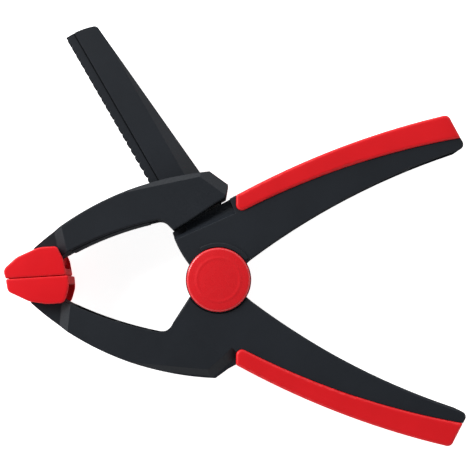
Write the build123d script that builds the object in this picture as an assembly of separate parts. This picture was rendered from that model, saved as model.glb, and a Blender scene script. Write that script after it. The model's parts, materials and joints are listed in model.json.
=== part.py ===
from build123d import *
import os
from math import acos, atan2, degrees, hypot, sqrt

# Adjustable spring clamp, lying flat. All sizes are in millimetres.
# X runs from the jaws to the handles, Y from the fixed jaw to the sliding jaw,
# and Z is the pivot axis. The origin is on that axis, on the rear cap's outer face.

# Half thicknesses, measured from the middle plane of the clamp
MIDDLE = 12.2
CAP_HALF = 12.2
PAD_HALF = 11.6
GRIP_HALF = 11.1
LEVER_HALF = 10.2
ARM_HALF = 9.7
JAW_HALF = 9.4
BAR_HALF = 4.8
TOOTH_HALF = 4.2
BLADE_HALF = 6.6
WALL = 2.5
RIB = 1.8

# Hub: the upper lever's cheeks lie outside the lower lever's cheeks
HUB_RADIUS = 13.1
HUB_GAP = 0.4
INNER_CHEEK = (4.9, 7.1)
OUTER_CHEEK = (7.7, LEVER_HALF)
WASHER = (7.12, 7.6)
PIN_RADIUS = 3.0
RUNNING_GAP = 0.05
CAP_RADIUS = 12.8
CAP_FLAT = 9.5
CAP_BASE = 10.35
CAP_RIM = 11.1
COLLAR_RADIUS = 14.7
COLLAR_RISE = 0.5
CAP_SNAP_GAP = 0.35

# Torsion spring
WIRE = 1.0
COIL_RADIUS = 7.4
COIL_TURNS = 3
COIL_PITCH = 2.04
LEG_END = (29.2, 39.2)

# Toothed bar, in its own axes: n across the bar, s along it
BAR_LEAN = 30.0
TOOTH_CREST = -4.8
TOOTH_DEPTH = 1.3
TOOTH_PITCH = 3.45
TOOTH_START = 26.4
TOOTH_COUNT = 26
STRIP_WIDTH = 4.0
BAR_FACE_EDGE = 9.3
BAR_REAR = ((16.5, 29.0), (8.85, 112.9))
BAR_ROOT = 22.0
BAR_BEVEL = (3.6, 6.5)
BAR_TOP = ((-4.6, 116.5), (3.1, 116.1), (7.4, 115.0))
GROOVE_DEPTH = 0.35
SLIDE_GAP = 0.35
CATCH_LINE = ((-20.0, 17.6), (-14.2, 20.4))
CATCH_WIDTH = 2.8
CATCH_DEPTH = 1.2

# Handle curves of the upper lever, each through three points
OUTER_EDGE = ((7.0, 33.9), (48.6, 53.1), (90.2, 65.9))
INNER_EDGE = ((96.6, 52.2), (51.8, 33.0), (13.4, 8.7))
GRIP_EDGE = ((97.2, 56.9), (48.6, 44.2), (10.4, 27.9))
END_TOP = ((90.2, 65.9), (92.0, 65.8), (93.3, 64.3))
END_TIP = ((98.0, 55.6), (98.2, 53.6), (96.6, 52.2))
HANDLE_RIBS = (42.0, 56.0, 70.0, 84.0)
GRIP_SKIN = 1.6
GRIP_STEP = 9.4

# Pads and their pins
UPPER_PIN = (-72.3, 8.2)
LOWER_PIN = (-72.0, -5.4)
PAD_PIN_RADIUS = 1.6
PAD_PIN_HALF = 9.6
PAD_SLOT = 7.0
PAD_MOUTH = 9.9
PAD_CORE = 8.6
PAD_ROUND = 0.6
PAD_FLOOR = 3.1
FACE_GAP = 0.07


def slab(face, low, high):
    """A flat outline made solid between two heights from the middle plane."""
    return extrude(Pos(0, 0, MIDDLE + low) * face, high - low)


def pair(face, low, high):
    """The same layer in front of and behind the middle plane."""
    return slab(face, low, high) + slab(face, -high, -low)


def block(face, half):
    """A layer centred on the middle plane."""
    return slab(face, -half, half)


def disc(radius, centre=(0, 0)):
    """A round outline."""
    return Pos(*centre) * Circle(radius)


def outline(*edges):
    """A closed face from edges given in order."""
    return make_face(list(edges))


def lines(*points):
    """Straight edges through points, in order."""
    return [Line(a, b) for a, b in zip(points, points[1:])]


def area(*points):
    """A closed polygon."""
    return make_face(lines(*points, points[0]))


def rounded(*corners):
    """A closed outline from corner points, each with its own radius."""
    path = FilletPolyline(*[c[0] for c in corners], radius=[c[1] for c in corners], close=True)
    return make_face(path.edges())


def arc_centre(a, b, c):
    """Centre of the circle through three points."""
    k = 2 * (a[0] * (b[1] - c[1]) + b[0] * (c[1] - a[1]) + c[0] * (a[1] - b[1]))
    sa, sb, sc = (p[0] ** 2 + p[1] ** 2 for p in (a, b, c))
    x = (sa * (b[1] - c[1]) + sb * (c[1] - a[1]) + sc * (a[1] - b[1])) / k
    y = (sa * (c[0] - b[0]) + sb * (a[0] - c[0]) + sc * (b[0] - a[0])) / k
    return x, y


def inset(points, depth):
    """Three points of an arc moved towards its centre."""
    cx, cy = arc_centre(*points)
    moved = []
    for x, y in points:
        length = hypot(cx - x, cy - y)
        moved.append((x + (cx - x) * depth / length, y + (cy - y) * depth / length))
    return moved


def rim(body, half):
    """The edges that bound the flat front and rear faces at one half thickness."""
    flat = [f for f in body.faces() if abs(abs(f.center().Z - MIDDLE) - half) < 0.01]
    return ShapeList([e for f in flat for e in f.edges()])


def softened(face, half, radius):
    """A centred layer with its front and rear edges rounded."""
    body = block(face, half)
    return fillet(rim(body, half), radius)


def slope(start, end, top, drop, run, reach=30.0, curved=False, lap=0.0):
    """Front and rear cutters whose floor falls away to the left of a line, run on by a lap."""
    along = Vector(end[0] - start[0], end[1] - start[1], 0)
    length = along.length
    along = along.normalized()
    length += 2 * lap
    start = (start[0] - along.X * lap, start[1] - along.Y * lap)
    left = Vector(-along.Y, along.X, 0)
    over = 8.0
    floor = top - drop
    if curved:
        ramp = [ThreePointArc((0, top), (run * 0.36, top - drop * 0.62), (run, floor))]
    else:
        ramp = lines((0, top), (run, floor))
    ring = ramp + lines((run, floor), (reach, floor), (reach, top + over), (0, top + over), (0, top))
    plane = Plane(origin=(start[0], start[1], MIDDLE), x_dir=left, z_dir=-along)
    front = extrude(plane * make_face(ring), -length)
    if plane.y_dir.Z < 0:
        front = mirror(front, Plane.XY.offset(MIDDLE))
    return front + mirror(front, Plane.XY.offset(MIDDLE))


def handle_edges():
    """The upper handle's outline from its outer edge round the end to the hub."""
    return [
        ThreePointArc(*OUTER_EDGE),
        ThreePointArc(*END_TOP),
        Line(END_TOP[2], END_TIP[0]),
        ThreePointArc(*END_TIP),
        ThreePointArc(*INNER_EDGE),
    ]


def handle_core(left):
    """The space inside a handle, open towards the other handle."""
    skin = GRIP_SKIN + 2.2
    top = inset(OUTER_EDGE, skin)
    end = (END_TIP[0][0] - 2.2, END_TIP[0][1] - 1.2)
    corner = (top[2][0] - 0.6, top[2][1] - 1.4)
    loop = lines(top[2], corner, end, (end[0] + 3.0, 40.0), (left, -4.0), (left, 26.0), top[0])
    return outline(ThreePointArc(*top), *loop)


def handle_ribs(places):
    """Cross ribs that stiffen the hollow handle."""
    ribs = []
    for x in places:
        y = 0.62 * x + 12.0
        bar = Pos(x, y) * Rot(0, 0, -58) * Rectangle(26.0, RIB)
        ribs.append(bar)
    return Sketch() + ribs


def grip_boundary():
    """The grip's lower edge and rounded left end, from the handle's end to its back."""
    left = OUTER_EDGE[0][0]
    return [
        ThreePointArc(*GRIP_EDGE),
        ThreePointArc(GRIP_EDGE[2], (8.0, 28.1), (left, 29.6)),
        Line((left, 29.6), OUTER_EDGE[0]),
    ]


def grip_seat():
    """The part of the handle that the grip wraps, up to the grip's inner skin."""
    top = inset(OUTER_EDGE, GRIP_SKIN)
    loop = lines(top[2], (91.6, 62.9), (95.9, 55.1), (95.9, 30.0), (0.0, 0.0), (0.0, 29.0), top[0])
    return block(outline(ThreePointArc(*top), *loop), GRIP_STEP)


def grip_room():
    """What is cut from a handle to make room for its grip."""
    left = OUTER_EDGE[0][0]
    corners = lines(OUTER_EDGE[0], (left, 90.0), (120.0, 90.0), (120.0, 50.0), GRIP_EDGE[0])
    return block(outline(*grip_boundary(), *corners), 2 * LEVER_HALF) - grip_seat()


def grip_solid():
    """Soft grip: a U-shaped skin over the handle's outer edge and end."""
    edge = outline(
        ThreePointArc(*OUTER_EDGE),
        ThreePointArc(*END_TOP),
        Line(END_TOP[2], GRIP_EDGE[0]),
        *grip_boundary(),
    )
    return softened(edge, GRIP_HALF, 1.1) - grip_seat()


def in_bar(shape):
    """Moves an outline from the bar's own axes to the clamp's axes."""
    return Rot(0, 0, BAR_LEAN) * shape


def bar_outline():
    """The toothed bar with a scalloped edge and a rounded far end."""
    valley = TOOTH_CREST + TOOTH_DEPTH
    edges = []
    for tooth in range(TOOTH_COUNT):
        s = TOOTH_START + tooth * TOOTH_PITCH
        crest = (TOOTH_CREST, s + TOOTH_PITCH / 2)
        edges.append(ThreePointArc((valley, s), crest, (valley, s + TOOTH_PITCH)))
    last = (valley, TOOTH_START + TOOTH_COUNT * TOOTH_PITCH)
    rear_low, rear_high = BAR_REAR
    edges.append(Line(last, BAR_TOP[0]))
    edges.append(ThreePointArc(*BAR_TOP))
    edges.append(ThreePointArc(BAR_TOP[2], (8.5, 114.2), rear_high))
    root = TOOTH_START - 8
    edges += lines(rear_high, rear_low, (rear_low[0], root), (valley, root), (valley, TOOTH_START))
    return in_bar(make_face(edges))


def bar_band(near, far):
    """A band along the whole bar, between two distances across it."""
    beyond = BAR_TOP[0][1] + 2
    return in_bar(area((near, BAR_ROOT), (far, BAR_ROOT), (far, beyond), (near, beyond)))


def bar_solid():
    """Toothed bar: a thick face, a thinner tooth strip and a bevelled back."""
    body = block(bar_outline(), BAR_HALF)
    step = TOOTH_CREST + STRIP_WIDTH
    body -= pair(bar_band(-9.0, step), TOOTH_HALF, BAR_HALF + 1)
    body -= pair(bar_band(step - 0.3, step + 0.2), TOOTH_HALF - GROOVE_DEPTH, BAR_HALF + 1)
    low = in_bar(Vertex(BAR_FACE_EDGE, 20)).center()
    high = in_bar(Vertex(BAR_FACE_EDGE, 120)).center()
    return body - slope((high.X, high.Y), (low.X, low.Y), BAR_HALF, *BAR_BEVEL, reach=20)


def upper_plate():
    """Outline of the upper lever without its bar."""
    return outline(
        ThreePointArc((-11.4, 5.6), (-16.0, 12.7), (-18.7, 19.2)),
        *lines((-18.7, 19.2), (-17.2, 20.3), (0.0, 30.1), OUTER_EDGE[0]),
        *handle_edges(),
        *lines(INNER_EDGE[2], (11.0, 6.6), (-11.4, 5.6)),
    )


def upper_lever():
    """Upper lever: handle, outer hub cheeks and toothed bar in one moulding."""
    body = softened(upper_plate(), LEVER_HALF, 0.6)
    body -= slope((-19.5, 14.9), (7.0, 26.6), LEVER_HALF, LEVER_HALF - BAR_HALF, 4.6, 12.0, True)
    body += block(disc(HUB_RADIUS), LEVER_HALF)
    body += bar_solid()
    body += pair(hub_collar(), LEVER_HALF - 0.1, LEVER_HALF + COLLAR_RISE)
    body -= pair(catch_pocket(), BAR_HALF - CATCH_DEPTH, LEVER_HALF + 1)
    core = handle_core(9.0) - handle_ribs(HANDLE_RIBS)
    body -= block(core, OUTER_CHEEK[0])
    body -= block(disc(HUB_RADIUS + 1.2), OUTER_CHEEK[0])
    leg_way = area((-4.0, 4.0), (9.5, 15.0), (20.0, 20.0), (20.0, 30.0), (9.5, 24.0), (-4.0, 10.5))
    body -= block(leg_way, INNER_CHEEK[0] + 0.9)
    body -= grip_room()
    return body - block(disc(PIN_RADIUS + RUNNING_GAP), 20)


def hub_collar():
    """Raised arc round the cap, on the upper lever's face only."""
    ring = disc(COLLAR_RADIUS) - disc(CAP_RADIUS + CAP_SNAP_GAP)
    return ring & area((0, 0), (30, 22), (8, 36), (-16, 28))


def catch_pocket():
    """Round-ended pocket at the root of the bar, where the jaw's catch drops in."""
    start, end = CATCH_LINE
    length = hypot(end[0] - start[0], end[1] - start[1])
    lean = degrees(atan2(end[1] - start[1], end[0] - start[0]))
    return Pos(*start) * Rot(0, 0, lean) * Pos(length / 2, 0) * SlotCenterToCenter(length, CATCH_WIDTH)


def lower_plate():
    """Outline of the lower lever: handle, hub neck and fixed jaw arm."""
    flip = Plane.XZ
    handle = [mirror(e, flip) for e in handle_edges()]
    return outline(
        *handle,
        *lines((INNER_EDGE[2][0], -INNER_EDGE[2][1]), (11.0, -6.6), (-11.4, -6.6), (-18.2, -17.2)),
        ThreePointArc((-18.2, -17.2), (-20.8, -20.2), (-24.6, -20.8)),
        ThreePointArc((-24.6, -20.8), (-43.0, -16.0), (-60.2, -9.2)),
        *lines((-60.2, -9.2), (-70.6, -2.8), (-75.2, -6.6), (-75.4, -9.2)),
        ThreePointArc((-75.4, -9.2), (-40.6, -30.9), (-5.8, -39.0)),
        *lines((-5.8, -39.0), (-1.2, -39.3), (4.0, -35.5), (OUTER_EDGE[0][0], -OUTER_EDGE[0][1])),
    )


def arm_core():
    """Hollow of the fixed jaw arm, open towards the throat."""
    return outline(
        ThreePointArc((-58.0, -18.6), (-38.0, -28.4), (-15.0, -34.4)),
        *lines((-15.0, -34.4), (-15.0, -24.0), (-26.0, -15.0), (-44.0, -8.0), (-58.0, -5.0)),
        Line((-58.0, -5.0), (-58.0, -18.6)),
    )


def arm_ribs(places, low, high):
    """Cross ribs of a jaw arm, given by the places of their middles."""
    ribs = [Pos(x, (low + high) / 2) * Rot(0, 0, 70) * Rectangle(high - low, RIB) for x in places]
    return Sketch() + ribs


def lower_lever():
    """Lower lever: handle, inner hub cheeks and fixed jaw in one moulding."""
    body = softened(lower_plate(), LEVER_HALF, 0.6)
    body -= slope((7.0, -28.4), (-90.0, 28.2), LEVER_HALF, LEVER_HALF - ARM_HALF, 4.0, 62.0)
    body -= slope((-4.4, -35.6), (-36.0, -32.6), ARM_HALF + 0.05, 2.0, 2.8, 12.0, lap=5.0)
    body -= slope((2.6, -29.6), (-4.4, -35.6), ARM_HALF + 0.1, 2.6, 4.0, 12.0, lap=4.0)
    body -= slope((-60.9, -28.0), (-58.3, -0.5), ARM_HALF, ARM_HALF - BLADE_HALF, 3.8, 24.0)
    body += block(disc(2.8, LOWER_PIN), BLADE_HALF)
    body -= pair(disc(HUB_RADIUS + HUB_GAP), INNER_CHEEK[1], LEVER_HALF + 1)
    body += pair(disc(HUB_RADIUS), *INNER_CHEEK)
    flip = Plane.XZ
    core = mirror(handle_core(6.0) - handle_ribs(HANDLE_RIBS), flip)
    body -= block(core - disc(HUB_RADIUS + 5), OUTER_CHEEK[0])
    spring_way = disc(HUB_RADIUS + 5) - disc(HUB_RADIUS)
    spring_way &= area((-6, 20), (-6, -9), (6, -30), (40, -30), (40, 20))
    body -= block(spring_way, INNER_CHEEK[0] + 0.4)
    body -= block(disc(HUB_RADIUS), INNER_CHEEK[0])
    body -= block(arm_core() - arm_ribs((-28.0, -42.0), -34.0, -6.0), ARM_HALF - WALL)
    body -= mirror(grip_room(), flip)
    body -= block(disc(PIN_RADIUS), 20)
    return body - block(disc(PAD_PIN_RADIUS, LOWER_PIN), 20)


def jaw_outline():
    """Outline of the sliding jaw: housing at the right, arm to the left."""
    return outline(
        *lines((-18.2, 19.9), (-12.8, 23.0), (-1.0, 30.9), (2.8, 33.1)),
        *lines((2.8, 33.1), (3.8, 38.4), (-3.7, 43.8), (-9.0, 43.0)),
        ThreePointArc((-9.0, 43.0), (-44.2, 32.8), (-74.2, 12.9)),
        *lines((-74.2, 12.9), (-75.9, 9.4), (-71.0, 4.6), (-60.6, 11.0)),
        ThreePointArc((-60.6, 11.0), (-41.0, 19.6), (-24.8, 24.0)),
        ThreePointArc((-24.8, 24.0), (-22.4, 23.7), (-20.6, 22.3)),
        Line((-20.6, 22.3), (-18.2, 19.9)),
    )


def sliding_jaw():
    """Sliding jaw: a box that straddles the toothed bar, and its arm."""
    body = softened(jaw_outline(), JAW_HALF, 0.6)
    body -= slope((-57.8, -0.3), (-64.4, 27.0), JAW_HALF, JAW_HALF - BLADE_HALF, 3.6, 24.0)
    body -= slope((-34.0, 35.8), (-7.6, 41.4), JAW_HALF, 1.8, 2.6, 12.0, lap=5.0)
    body -= slope((-7.6, 41.4), (2.4, 34.2), JAW_HALF, 2.2, 4.0, 12.0, lap=5.0)
    body += block(disc(3.7, UPPER_PIN), BLADE_HALF)
    n0 = TOOTH_CREST - SLIDE_GAP
    n1 = BAR_REAR[0][0] + SLIDE_GAP
    passage = in_bar(area((n0, 0), (n1, 0), (n1, 130), (n0, 130)))
    body -= block(passage, BAR_HALF + SLIDE_GAP)
    hollow = outline(
        ThreePointArc((-27.4, 36.4), (-43.4, 30.0), (-58.0, 22.2)),
        *lines((-58.0, 22.2), (-58.0, 8.0), (-40.0, 15.0), (-24.6, 19.0), (-24.6, 27.0), (-27.4, 36.4)),
    )
    body -= pair(hollow, RIB / 2, JAW_HALF - WALL)
    keel = outline(
        ThreePointArc((-59.0, 14.0), (-44.0, 21.2), (-28.0, 26.0)),
        Line((-28.0, 26.0), (-28.0, 22.9)),
        ThreePointArc((-28.0, 22.9), (-44.0, 18.0), (-59.0, 11.2)),
        Line((-59.0, 11.2), (-59.0, 14.0)),
    )
    body += block(keel, JAW_HALF - WALL)
    return body - block(disc(PAD_PIN_RADIUS, UPPER_PIN), 20)


def pad(edge, pin, slot):
    """Soft pad: a clamping face, a nose and two cheeks round the arm's blade."""
    body = softened(edge, PAD_HALF, PAD_ROUND)
    body -= block(slot, PAD_SLOT)
    body -= pair(slot - disc(PAD_CORE, pin), PAD_SLOT - 0.1, PAD_MOUTH)
    return body - block(disc(PAD_PIN_RADIUS + RUNNING_GAP, pin), PAD_PIN_HALF + 0.2)


def sliding_jaw_pad():
    """Pad of the sliding jaw, above the parting line."""
    edge = rounded(
        ((-84.9, 0.35 + FACE_GAP), 0.5),
        ((-86.1, 4.0), 3.0),
        ((-80.6, 9.0), 10.0),
        ((-71.8, 13.0), 12.0),
        ((-64.6, 13.4), 1.8),
        ((-61.9, 8.0), 8.0),
        ((-60.8, 1.85 + FACE_GAP), 0.5),
    )
    floor = PAD_FLOOR + 0.6
    slot = area((-77.4, floor), (-50.0, floor + 1.6), (-50.0, 24.0), (-77.4, 24.0))
    return pad(edge, UPPER_PIN, slot)


def fixed_jaw_pad():
    """Pad of the fixed jaw, below the parting line."""
    edge = rounded(
        ((-84.9, 0.35 - FACE_GAP), 0.5),
        ((-84.0, -4.7), 2.5),
        ((-75.4, -8.7), 8.0),
        ((-68.0, -9.7), 12.0),
        ((-61.4, -9.2), 2.6),
        ((-59.6, -3.0), 8.0),
        ((-60.0, 1.88 - FACE_GAP), 0.5),
    )
    floor = 0.9 - PAD_FLOOR
    slot = area((-77.4, floor - 0.5), (-50.0, floor + 1.1), (-50.0, -24.0), (-77.4, -24.0))
    return pad(edge, LOWER_PIN, slot)


def pad_pin(centre):
    """Plain steel dowel that a pad swivels on."""
    return chamfer(rim(block(disc(PAD_PIN_RADIUS, centre), PAD_PIN_HALF), PAD_PIN_HALF), 0.3)


def pivot_pin():
    """Pivot pin with a low head at the rear and a chamfered front end."""
    shank = slab(disc(PIN_RADIUS), -CAP_BASE, 11.3)
    head = slab(disc(5.2), -11.3, -CAP_BASE + 0.05)
    return shank + head


def push_nut():
    """Spring-steel push nut that holds the pin's front end."""
    ring = disc(6.0) - disc(PIN_RADIUS)
    slots = [Rot(0, 0, 60 * k) * Pos(PIN_RADIUS, 0) * Rectangle(2.2, 0.8) for k in range(6)]
    return slab(ring - (Sketch() + slots), CAP_BASE, CAP_BASE + 0.5)


def thrust_washer(side):
    """Thin washer between a lower cheek and an upper cheek."""
    ring = disc(9.0) - disc(PIN_RADIUS)
    low, high = WASHER if side > 0 else (-WASHER[1], -WASHER[0])
    return slab(ring, low, high)


def cap(side):
    """Round cap with a low crown; it presses on to the pin's end."""
    profile = outline(
        *lines((0, CAP_BASE), (CAP_RADIUS, CAP_BASE), (CAP_RADIUS, CAP_RIM)),
        ThreePointArc((CAP_RADIUS, CAP_RIM), (CAP_RADIUS - 0.8, 11.85), (CAP_FLAT, CAP_HALF)),
        *lines((CAP_FLAT, CAP_HALF), (0, CAP_HALF), (0, CAP_BASE)),
    )
    body = Pos(0, 0, MIDDLE) * revolve(Plane.XZ * profile, Axis.Z)
    pocket = 6.3 if side > 0 else 5.4
    body -= slab(disc(pocket), CAP_BASE - 1, 11.35)
    return body if side > 0 else mirror(body, Plane.XY.offset(MIDDLE))


def spring_bush():
    """Sleeve round the pin that centres the coil between the cheeks."""
    return block(disc(5.2) - disc(PIN_RADIUS), INNER_CHEEK[0] - 0.1)


def torsion_spring():
    """Round-wire torsion spring; a leg lies in each handle."""
    reach = hypot(*LEG_END)
    bearing = degrees(atan2(LEG_END[1], LEG_END[0]))
    contact = bearing + degrees(acos(COIL_RADIUS / reach))
    turns = COIL_TURNS + (360 - 2 * contact) / 360
    height = turns * COIL_PITCH
    coil = Pos(0, 0, MIDDLE - height / 2) * Rot(0, 0, contact) * Helix(COIL_PITCH, height, COIL_RADIUS)
    section = Plane(origin=coil @ 0, z_dir=coil % 0) * Circle(WIRE)
    body = sweep(section, coil, is_frenet=True)
    for place, way in ((0, -1), (1, 1)):
        leg = Plane(origin=coil @ place, z_dir=(coil % place) * way)
        body += Solid.make_cylinder(WIRE, sqrt(reach**2 - COIL_RADIUS**2), leg)
    return body


def build():
    """Every sub-part by its name."""
    return {
        "lower_lever": lower_lever(),
        "upper_lever": upper_lever(),
        "sliding_jaw": sliding_jaw(),
        "upper_grip": grip_solid(),
        "lower_grip": mirror(grip_solid(), Plane.XZ),
        "sliding_jaw_pad": sliding_jaw_pad(),
        "fixed_jaw_pad": fixed_jaw_pad(),
        "sliding_pad_pin": pad_pin(UPPER_PIN),
        "fixed_pad_pin": pad_pin(LOWER_PIN),
        "pivot_pin": pivot_pin(),
        "push_nut": push_nut(),
        "front_thrust_washer": thrust_washer(1),
        "rear_thrust_washer": thrust_washer(-1),
        "spring_bush": spring_bush(),
        "torsion_spring": torsion_spring(),
        "front_cap": cap(1),
        "rear_cap": cap(-1),
    }


os.makedirs("parts", exist_ok=True)
for name, shape in build().items():
    export_step(shape, f"parts/{name}.step")
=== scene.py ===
import json
from math import acos, atan2, cos, hypot, pi, sin, sqrt

import bmesh
import bpy
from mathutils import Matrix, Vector


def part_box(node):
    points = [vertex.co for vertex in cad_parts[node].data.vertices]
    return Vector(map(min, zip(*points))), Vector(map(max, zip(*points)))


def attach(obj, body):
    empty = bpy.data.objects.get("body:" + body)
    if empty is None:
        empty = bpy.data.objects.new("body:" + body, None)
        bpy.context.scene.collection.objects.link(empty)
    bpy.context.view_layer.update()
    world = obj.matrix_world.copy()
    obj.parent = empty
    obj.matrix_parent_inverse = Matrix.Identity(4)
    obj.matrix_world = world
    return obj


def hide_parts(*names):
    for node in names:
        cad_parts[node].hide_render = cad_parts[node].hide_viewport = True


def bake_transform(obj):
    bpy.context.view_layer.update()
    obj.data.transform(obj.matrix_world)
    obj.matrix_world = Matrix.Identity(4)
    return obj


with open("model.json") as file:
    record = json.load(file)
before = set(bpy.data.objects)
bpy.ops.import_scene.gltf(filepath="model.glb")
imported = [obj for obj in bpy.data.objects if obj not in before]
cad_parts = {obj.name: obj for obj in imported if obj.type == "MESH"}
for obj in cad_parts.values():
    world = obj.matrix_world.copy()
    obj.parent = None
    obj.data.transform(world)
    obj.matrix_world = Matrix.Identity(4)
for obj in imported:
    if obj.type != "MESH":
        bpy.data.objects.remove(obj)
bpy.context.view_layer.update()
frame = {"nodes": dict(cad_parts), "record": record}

MM = 0.001
MIDDLE = 12.2 * MM


# ---------------------------------------------------------------- materials

def map_range(tree, value, low, high, to_low, to_high):
    """Adds a node that maps one range of a value onto another."""
    node = tree.nodes.new("ShaderNodeMapRange")
    numbers = {"From Min": low, "From Max": high, "To Min": to_low, "To Max": to_high}
    for key, number in numbers.items():
        node.inputs[key].default_value = number
    tree.links.new(value, node.inputs["Value"])
    return node


class Nodes:
    """Small helper that adds and joins shader nodes of one material."""

    def __init__(self, name):
        self.material = bpy.data.materials.new(name)
        self.material.use_nodes = True
        self.tree = self.material.node_tree
        self.shader = self.tree.nodes["Principled BSDF"]
        self.place = self.add("ShaderNodeTexCoord").outputs["Object"]

    def add(self, kind, **values):
        node = self.tree.nodes.new(kind)
        for key, value in values.items():
            setattr(node, key, value)
        return node

    def join(self, source, target):
        self.tree.links.new(source, target)

    def noise(self, scale, detail=3.0, roughness=0.55, stretch=None):
        node = self.add("ShaderNodeTexNoise")
        node.inputs["Scale"].default_value = scale
        node.inputs["Detail"].default_value = detail
        node.inputs["Roughness"].default_value = roughness
        source = self.place
        if stretch:
            mapping = self.add("ShaderNodeMapping")
            mapping.inputs["Scale"].default_value = stretch
            self.join(self.place, mapping.inputs["Vector"])
            source = mapping.outputs["Vector"]
        self.join(source, node.inputs["Vector"])
        return node.outputs["Fac"]

    def remap(self, value, low, high, to_low, to_high):
        return map_range(self.tree, value, low, high, to_low, to_high).outputs["Result"]

    def ramp(self, value, dark, light):
        node = self.add("ShaderNodeValToRGB")
        node.color_ramp.elements[0].position = 0.3
        node.color_ramp.elements[1].position = 0.7
        node.color_ramp.elements[0].color = (*dark, 1)
        node.color_ramp.elements[1].color = (*light, 1)
        self.join(value, node.inputs["Fac"])
        return node.outputs["Color"]

    def bump(self, height, distance, strength, below=None):
        node = self.add("ShaderNodeBump")
        node.inputs["Distance"].default_value = distance
        node.inputs["Strength"].default_value = strength
        self.join(height, node.inputs["Height"])
        if below is not None:
            self.join(below, node.inputs["Normal"])
        return node.outputs["Normal"]

    def rounded_edges(self, radius):
        node = self.add("ShaderNodeBevel", samples=6)
        node.inputs["Radius"].default_value = radius
        return node.outputs["Normal"]

    def set(self, **values):
        for key, value in values.items():
            self.shader.inputs[key.replace("_", " ")].default_value = value


def black_nylon():
    """Glass-filled nylon: near black, spark-eroded grain, soft sheen, faint flow marks."""
    m = Nodes("black_nylon")
    flow = m.noise(45, 3.0, 0.5, stretch=(1.0, 1.0, 0.4))
    m.join(m.ramp(flow, (0.0075, 0.0098, 0.0135), (0.0105, 0.0133, 0.0180)), m.shader.inputs["Base Color"])
    grain = m.noise(5200, 2.0, 0.6)
    pits = m.noise(1700, 3.0, 0.65)
    m.join(m.remap(pits, 0.3, 0.7, 0.44, 0.60), m.shader.inputs["Roughness"])
    soft = m.bump(pits, 0.00006, 0.55, below=m.rounded_edges(0.00035))
    m.join(m.bump(grain, 0.00003, 0.5, below=soft), m.shader.inputs["Normal"])
    m.set(Specular_IOR_Level=0.28)
    return m.material


def red_elastomer(name, deep, bright, rough):
    """Soft red moulding: satin, with a very light mould texture and slow waviness."""
    m = Nodes(name)
    cloud = m.noise(60, 2.0, 0.5)
    m.join(m.ramp(cloud, deep, bright), m.shader.inputs["Base Color"])
    texture = m.noise(3400, 2.0, 0.55)
    waves = m.noise(160, 1.0, 0.4)
    m.join(m.remap(texture, 0.3, 0.7, rough - 0.04, rough + 0.05), m.shader.inputs["Roughness"])
    slow = m.bump(waves, 0.0001, 0.25, below=m.rounded_edges(0.0003))
    m.join(m.bump(texture, 0.00002, 0.35, below=slow), m.shader.inputs["Normal"])
    m.set(Specular_IOR_Level=0.3, Subsurface_Weight=0.06, Subsurface_Scale=0.001)
    m.set(Subsurface_Radius=(1.0, 0.2, 0.1))
    return m.material


def red_gloss():
    """Hard polished red styrene cap."""
    m = Nodes("red_gloss_cap")
    cloud = m.noise(70, 2.0, 0.5)
    m.join(m.ramp(cloud, (0.60, 0.010, 0.015), (0.65, 0.011, 0.017)), m.shader.inputs["Base Color"])
    smear = m.noise(420, 2.0, 0.5)
    m.join(m.remap(smear, 0.3, 0.7, 0.24, 0.31), m.shader.inputs["Roughness"])
    m.join(m.bump(smear, 0.00003, 0.2, below=m.rounded_edges(0.0003)), m.shader.inputs["Normal"])
    m.set(Coat_Weight=0.25, Coat_Roughness=0.12)
    return m.material


def steel(name, colour, rough, scale):
    """Plated or drawn steel with fine drawing marks."""
    m = Nodes(name)
    marks = m.noise(scale, 3.0, 0.6, stretch=(1.0, 1.0, 0.08))
    light = tuple(min(1.0, c * 1.12) for c in colour)
    m.join(m.ramp(marks, colour, light), m.shader.inputs["Base Color"])
    m.join(m.remap(marks, 0.3, 0.7, rough - 0.06, rough + 0.08), m.shader.inputs["Roughness"])
    m.join(m.bump(marks, 0.00002, 0.3), m.shader.inputs["Normal"])
    m.set(Metallic=1.0)
    return m.material


def natural_acetal():
    """Off-white acetal of the coil's sleeve."""
    m = Nodes("natural_acetal")
    cloud = m.noise(300, 2.0, 0.5)
    m.join(m.ramp(cloud, (0.66, 0.64, 0.58), (0.74, 0.72, 0.66)), m.shader.inputs["Base Color"])
    m.join(m.remap(cloud, 0.3, 0.7, 0.36, 0.44), m.shader.inputs["Roughness"])
    m.join(m.bump(cloud, 0.00002, 0.3), m.shader.inputs["Normal"])
    return m.material


def floor_paint():
    """Plain pale studio floor that glows a little, so that the object leaves no grey shade on it."""
    m = Nodes("studio_floor")
    fine = m.noise(9, 2.0, 0.5)
    m.join(m.ramp(fine, (0.90, 0.90, 0.90), (0.92, 0.92, 0.92)), m.shader.inputs["Base Color"])
    m.set(Roughness=0.7, Emission_Color=(1.0, 1.0, 1.0, 1.0), Emission_Strength=0.86)
    return m.material


MATERIALS = {
    "black_nylon": black_nylon(),
    "red_soft_grip": red_elastomer("red_soft_grip", (0.60, 0.006, 0.010), (0.66, 0.007, 0.012), 0.44),
    "red_soft_pad": red_elastomer("red_soft_pad", (0.64, 0.006, 0.011), (0.70, 0.007, 0.013), 0.38),
    "red_gloss_cap": red_gloss(),
    "bright_steel": steel("bright_steel", (0.62, 0.62, 0.64), 0.28, 900),
    "spring_steel": steel("spring_steel", (0.30, 0.30, 0.32), 0.34, 1400),
    "natural_acetal": natural_acetal(),
}

SLOTS = {part["node"]: part["material_slot"] for part in frame["record"]["subparts"]}


def paint(piece, slot):
    """Gives a piece its one material."""
    piece.data.materials.clear()
    piece.data.materials.append(MATERIALS[slot])


for node, slot in SLOTS.items():
    cad = frame["nodes"][node]
    for index in range(max(1, len(cad.material_slots))):
        if index < len(cad.material_slots):
            cad.material_slots[index].material = MATERIALS[slot]
        else:
            cad.data.materials.append(MATERIALS[slot])


# ---------------------------------------------------------------- torsion spring

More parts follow.
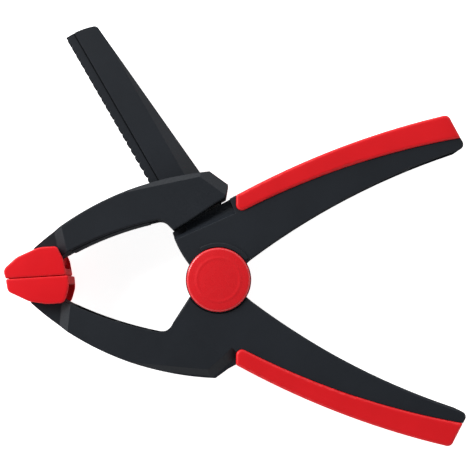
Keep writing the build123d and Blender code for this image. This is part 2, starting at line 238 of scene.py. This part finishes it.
WIRE = 1.0 * MM
COIL_RADIUS = 7.4 * MM
COIL_TURNS = 3
COIL_PITCH = 2.04 * MM
LEG_END = (29.2, 39.2)
LEG_REACH = hypot(*LEG_END) * MM
LEG_STEPS = 12
STEPS_PER_TURN = 40


def new_piece(name, bm, slot, body=None, nodes=()):
    """Turns a bmesh into a painted piece that rides on a body and stands for CAD nodes."""
    mesh = bpy.data.meshes.new(name)
    bmesh.ops.recalc_face_normals(bm, faces=bm.faces)
    bm.to_mesh(mesh)
    bm.free()
    for face in mesh.polygons:
        face.use_smooth = True
    piece = bpy.data.objects.new(name, mesh)
    bpy.context.scene.collection.objects.link(piece)
    paint(piece, slot)
    if nodes:
        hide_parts(*nodes)
    if body:
        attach(piece, body)
    return piece


def spring_path():
    """Centre line of the spring: the leg in the upper handle, the coil, the other leg."""
    contact = atan2(LEG_END[1], LEG_END[0]) + acos(COIL_RADIUS / LEG_REACH)
    turns = COIL_TURNS + (2 * pi - 2 * contact) / (2 * pi)
    height = turns * COIL_PITCH
    steps = int(turns * STEPS_PER_TURN)
    coil = []
    for step in range(steps + 1):
        share = step / steps
        angle = contact + share * turns * 2 * pi
        level = MIDDLE - height / 2 + share * height
        coil.append(Vector((COIL_RADIUS * cos(angle), COIL_RADIUS * sin(angle), level)))
    leg = sqrt(LEG_REACH**2 - COIL_RADIUS**2)
    first = (coil[0] - coil[1]).normalized()
    last = (coil[-1] - coil[-2]).normalized()
    leg_in = [coil[0] + first * leg * k / LEG_STEPS for k in range(LEG_STEPS, 0, -1)]
    leg_out = [coil[-1] + last * leg * k / LEG_STEPS for k in range(1, LEG_STEPS + 1)]
    return leg_in + coil + leg_out


def tube(path, radius, sides=14):
    """A round tube along a path, with flat ends."""
    bm = bmesh.new()
    rings = []
    up = Vector((0, 0, 1))
    for k, point in enumerate(path):
        ahead = path[min(k + 1, len(path) - 1)] - path[max(k - 1, 0)]
        side = ahead.cross(up).normalized()
        top = side.cross(ahead).normalized()
        ring = []
        for s in range(sides):
            a = 2 * pi * s / sides
            ring.append(bm.verts.new(point + (side * cos(a) + top * sin(a)) * radius))
        rings.append(ring)
    for one, two in zip(rings, rings[1:]):
        for s in range(sides):
            t = (s + 1) % sides
            bm.faces.new((one[s], one[t], two[t], two[s]))
    for ring in (rings[0], rings[-1]):
        bm.faces.new(ring)
    return bm


def build_spring():
    """The coil with its two legs, one fixed tube that reaches from one lever to the other."""
    wire = tube(spring_path(), WIRE)
    spring = new_piece("coiled_spring", wire, "spring_steel", nodes=("torsion_spring",))
    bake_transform(spring)


build_spring()


# ---------------------------------------------------------------- soft mouldings and caps

CROWN = 0.35 * MM
CROWN_SHARES = (0.6, 0.4)
BORE_RADIUS = 1.9 * MM
BORE_HALF = 9.95 * MM
BORE_END = 0.5 * MM
UPPER_PIN = (-72.3, 8.2)
LOWER_PIN = (-72.0, -5.4)
CAP_RADIUS = 12.8 * MM
CAP_HALF = 12.2 * MM
CAP_BASE = 10.35 * MM
CAP_BORE = 6.4 * MM
CAP_LIP = 0.1 * MM
DOME_DROP = 0.55 * MM
DOME_SHARE = 0.905
EDGE_DROP = 1.0 * MM
RING_SHARES = (0.66, 0.72)
RING_RISE = 0.12 * MM


def soft_copy(node, voxel, rounds, crown):
    """A softly rounded moulding made from a node's solid: even skin, melted edges, crowned faces."""
    cad = frame["nodes"][node]
    low, high = (Vector(corner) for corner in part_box(node))
    blank = bpy.data.objects.new(node + "_blank", cad.data.copy())
    bpy.context.scene.collection.objects.link(blank)
    remesh = blank.modifiers.new("skin", "REMESH")
    remesh.mode = "VOXEL"
    remesh.voxel_size = voxel
    smooth = blank.modifiers.new("melt", "SMOOTH")
    smooth.factor = 0.5
    smooth.iterations = rounds
    bpy.context.view_layer.update()
    melted = blank.evaluated_get(bpy.context.evaluated_depsgraph_get())
    mesh = bpy.data.meshes.new_from_object(melted)
    bpy.data.objects.remove(blank)
    middle = (low + high) / 2
    half = (high - low) / 2
    bm = bmesh.new()
    bm.from_mesh(mesh)
    bpy.data.meshes.remove(mesh)
    along, across = CROWN_SHARES
    for vertex in bm.verts:
        offset = vertex.co - middle
        spread = (offset.x / half.x) ** 2 * along + (offset.y / half.y) ** 2 * across
        spread = min(1.0, spread)
        vertex.co.z -= crown * spread * offset.z / half.z
    return bm


def clear_bore(bm, axis):
    """Opens the blind bore of a pad again, which the melted skin narrows round its pin."""
    for vertex in bm.verts:
        away = Vector((vertex.co.x - axis[0] * MM, vertex.co.y - axis[1] * MM, 0))
        depth = vertex.co.z - MIDDLE
        if away.length > BORE_RADIUS or abs(depth) > BORE_HALF:
            continue
        if abs(depth) > BORE_HALF - BORE_END and away.length < BORE_RADIUS - BORE_END:
            vertex.co.z = MIDDLE + (BORE_HALF if depth > 0 else -BORE_HALF)
        else:
            vertex.co += away.normalized() * (BORE_RADIUS - away.length)


def build_soft(name, node, body, slot, voxel, rounds, crown, bore=None):
    """A soft moulding in place of a CAD node, with its pin's bore if it has one."""
    bm = soft_copy(node, voxel, rounds, crown)
    if bore:
        clear_bore(bm, bore)
    new_piece(name, bm, slot, body, (node,))


def cap_profile():
    """Half section of a cap from its centre outwards: low dome, one plain raised ring, round edge."""
    points = [(0.0, CAP_HALF)]
    rings = 26
    for k in range(1, rings + 1):
        share = k / rings * DOME_SHARE
        height = CAP_HALF - DOME_DROP * (share / DOME_SHARE) ** 2
        if RING_SHARES[0] < share < RING_SHARES[1]:
            height += RING_RISE
        points.append((share * CAP_RADIUS, height))
    start = points[-1]
    turns = 8
    reach = CAP_RADIUS - start[0]
    for k in range(1, turns + 1):
        a = k / turns * pi / 2
        points.append((start[0] + reach * sin(a), start[1] - EDGE_DROP * (1 - cos(a))))
    points.append((CAP_RADIUS, CAP_BASE + CAP_LIP))
    points.append((CAP_RADIUS - CAP_LIP, CAP_BASE))
    points.append((CAP_BORE, CAP_BASE))
    return points


def build_cap(name, node, side):
    """Revolves the cap's section; side is 1 at the front and -1 at the rear."""
    steps = 96
    profile = cap_profile()
    bm = bmesh.new()
    centre = bm.verts.new((0, 0, MIDDLE + side * profile[0][1]))
    rings = []
    for radius, height in profile[1:]:
        ring = []
        for s in range(steps):
            a = 2 * pi * s / steps
            ring.append(bm.verts.new((radius * cos(a), radius * sin(a), MIDDLE + side * height)))
        rings.append(ring)
    for s in range(steps):
        bm.faces.new((centre, rings[0][s], rings[0][(s + 1) % steps]))
    for one, two in zip(rings, rings[1:]):
        for s in range(steps):
            t = (s + 1) % steps
            bm.faces.new((one[s], two[s], two[t], one[t]))
    bm.faces.new(rings[-1])
    new_piece(name, bm, "red_gloss_cap", "lower", (node,))


FINE = 0.32 * MM
COARSE = 0.38 * MM
build_soft("upper_pad_moulding", "sliding_jaw_pad", "upper_pad", "red_soft_pad", FINE, 2, CROWN, UPPER_PIN)
build_soft("lower_pad_moulding", "fixed_jaw_pad", "lower_pad", "red_soft_pad", FINE, 2, CROWN, LOWER_PIN)
build_soft("upper_grip_skin", "upper_grip", "upper", "red_soft_grip", COARSE, 3, 0.0)
build_soft("lower_grip_skin", "lower_grip", "lower", "red_soft_grip", COARSE, 3, 0.0)
build_cap("front_cap_dome", "front_cap", 1)
build_cap("rear_cap_dome", "rear_cap", -1)


# ---------------------------------------------------------------- camera, light, floor

FRONT_FACE = MIDDLE + 10.2 * MM
CAMERA_DISTANCE = 0.52
WIDTH_SEEN = 0.1877
SENSOR = 36
BRIGHT_SIDE = (-0.6, 0.8, 0.0)
HORIZON_LIGHT = 1.75
OVERHEAD_LIGHT = 0.10
GROUND_LIGHT = 0.06
FLOOR_HALF = 18.0


def aim(thing, target):
    """Turns a camera or a light towards a point."""
    away = thing.location - Vector(target)
    thing.rotation_mode = "QUATERNION"
    thing.rotation_quaternion = away.to_track_quat("Z", "Y")


def make_camera():
    """Straight above the clamp, a little towards the fixed jaw, as in a catalogue view."""
    camera = bpy.data.objects.new("camera", bpy.data.cameras.new("camera"))
    bpy.context.scene.collection.objects.link(camera)
    camera.location = (0.0066, -0.0081, FRONT_FACE + CAMERA_DISTANCE)
    aim(camera, (0.0066, 0.0179, FRONT_FACE))
    camera.data.sensor_width = SENSOR
    camera.data.lens = SENSOR * CAMERA_DISTANCE / WIDTH_SEEN
    camera.data.clip_start = 0.01
    camera.data.clip_end = 20
    bpy.context.scene.camera = camera


def softbox(name, place, target, size, power):
    """A large white panel aimed at a point."""
    data = bpy.data.lights.new(name, "AREA")
    data.shape = "RECTANGLE"
    data.size, data.size_y = size
    data.energy = power
    light = bpy.data.objects.new(name, data)
    bpy.context.scene.collection.objects.link(light)
    light.location = place
    aim(light, target)


def times(tree, one, two):
    """Adds a node that multiplies two values."""
    node = tree.nodes.new("ShaderNodeMath")
    node.operation = "MULTIPLY"
    tree.links.new(one, node.inputs[0])
    tree.links.new(two, node.inputs[1])
    return node.outputs["Value"]


def make_world():
    """A light tent: bright towards the horizon and one side, dim overhead, dark below the floor."""
    world = bpy.data.worlds.new("studio")
    bpy.context.scene.world = world
    world.use_nodes = True
    tree = world.node_tree
    way = tree.nodes.new("ShaderNodeTexCoord").outputs["Generated"]
    parts = tree.nodes.new("ShaderNodeSeparateXYZ")
    tree.links.new(way, parts.inputs["Vector"])
    height = parts.outputs["Z"]
    side = tree.nodes.new("ShaderNodeVectorMath")
    side.operation = "DOT_PRODUCT"
    side.inputs[1].default_value = BRIGHT_SIDE
    tree.links.new(way, side.inputs[0])
    fade = map_range(tree, height, 0.30, 0.90, HORIZON_LIGHT, OVERHEAD_LIGHT)
    fade.interpolation_type = "SMOOTHSTEP"
    lean = map_range(tree, side.outputs["Value"], -0.8, 0.8, 0.62, 1.30)
    ground = map_range(tree, height, -0.10, -0.02, GROUND_LIGHT, 1.0)
    light = times(tree, fade.outputs["Result"], lean.outputs["Result"])
    light = times(tree, light, ground.outputs["Result"])
    background = tree.nodes["Background"]
    background.inputs["Color"].default_value = (1, 1, 1, 1)
    tree.links.new(light, background.inputs["Strength"])


def make_floor():
    """A wide floor, kept out of reflections so that side walls stay dark."""
    bm = bmesh.new()
    bmesh.ops.create_grid(bm, x_segments=2, y_segments=2, size=FLOOR_HALF)
    mesh = bpy.data.meshes.new("floor")
    bm.to_mesh(mesh)
    bm.free()
    floor = bpy.data.objects.new("floor", mesh)
    bpy.context.scene.collection.objects.link(floor)
    mesh.materials.append(floor_paint())
    floor.visible_glossy = False


def make_studio():
    """World, floor and one key light."""
    make_world()
    make_floor()
    softbox("key", (-0.85, 0.55, 0.60), (0, 0, 0), (0.6, 0.4), 11.0)
    bpy.context.scene.view_settings.view_transform = "Standard"


make_camera()
make_studio()
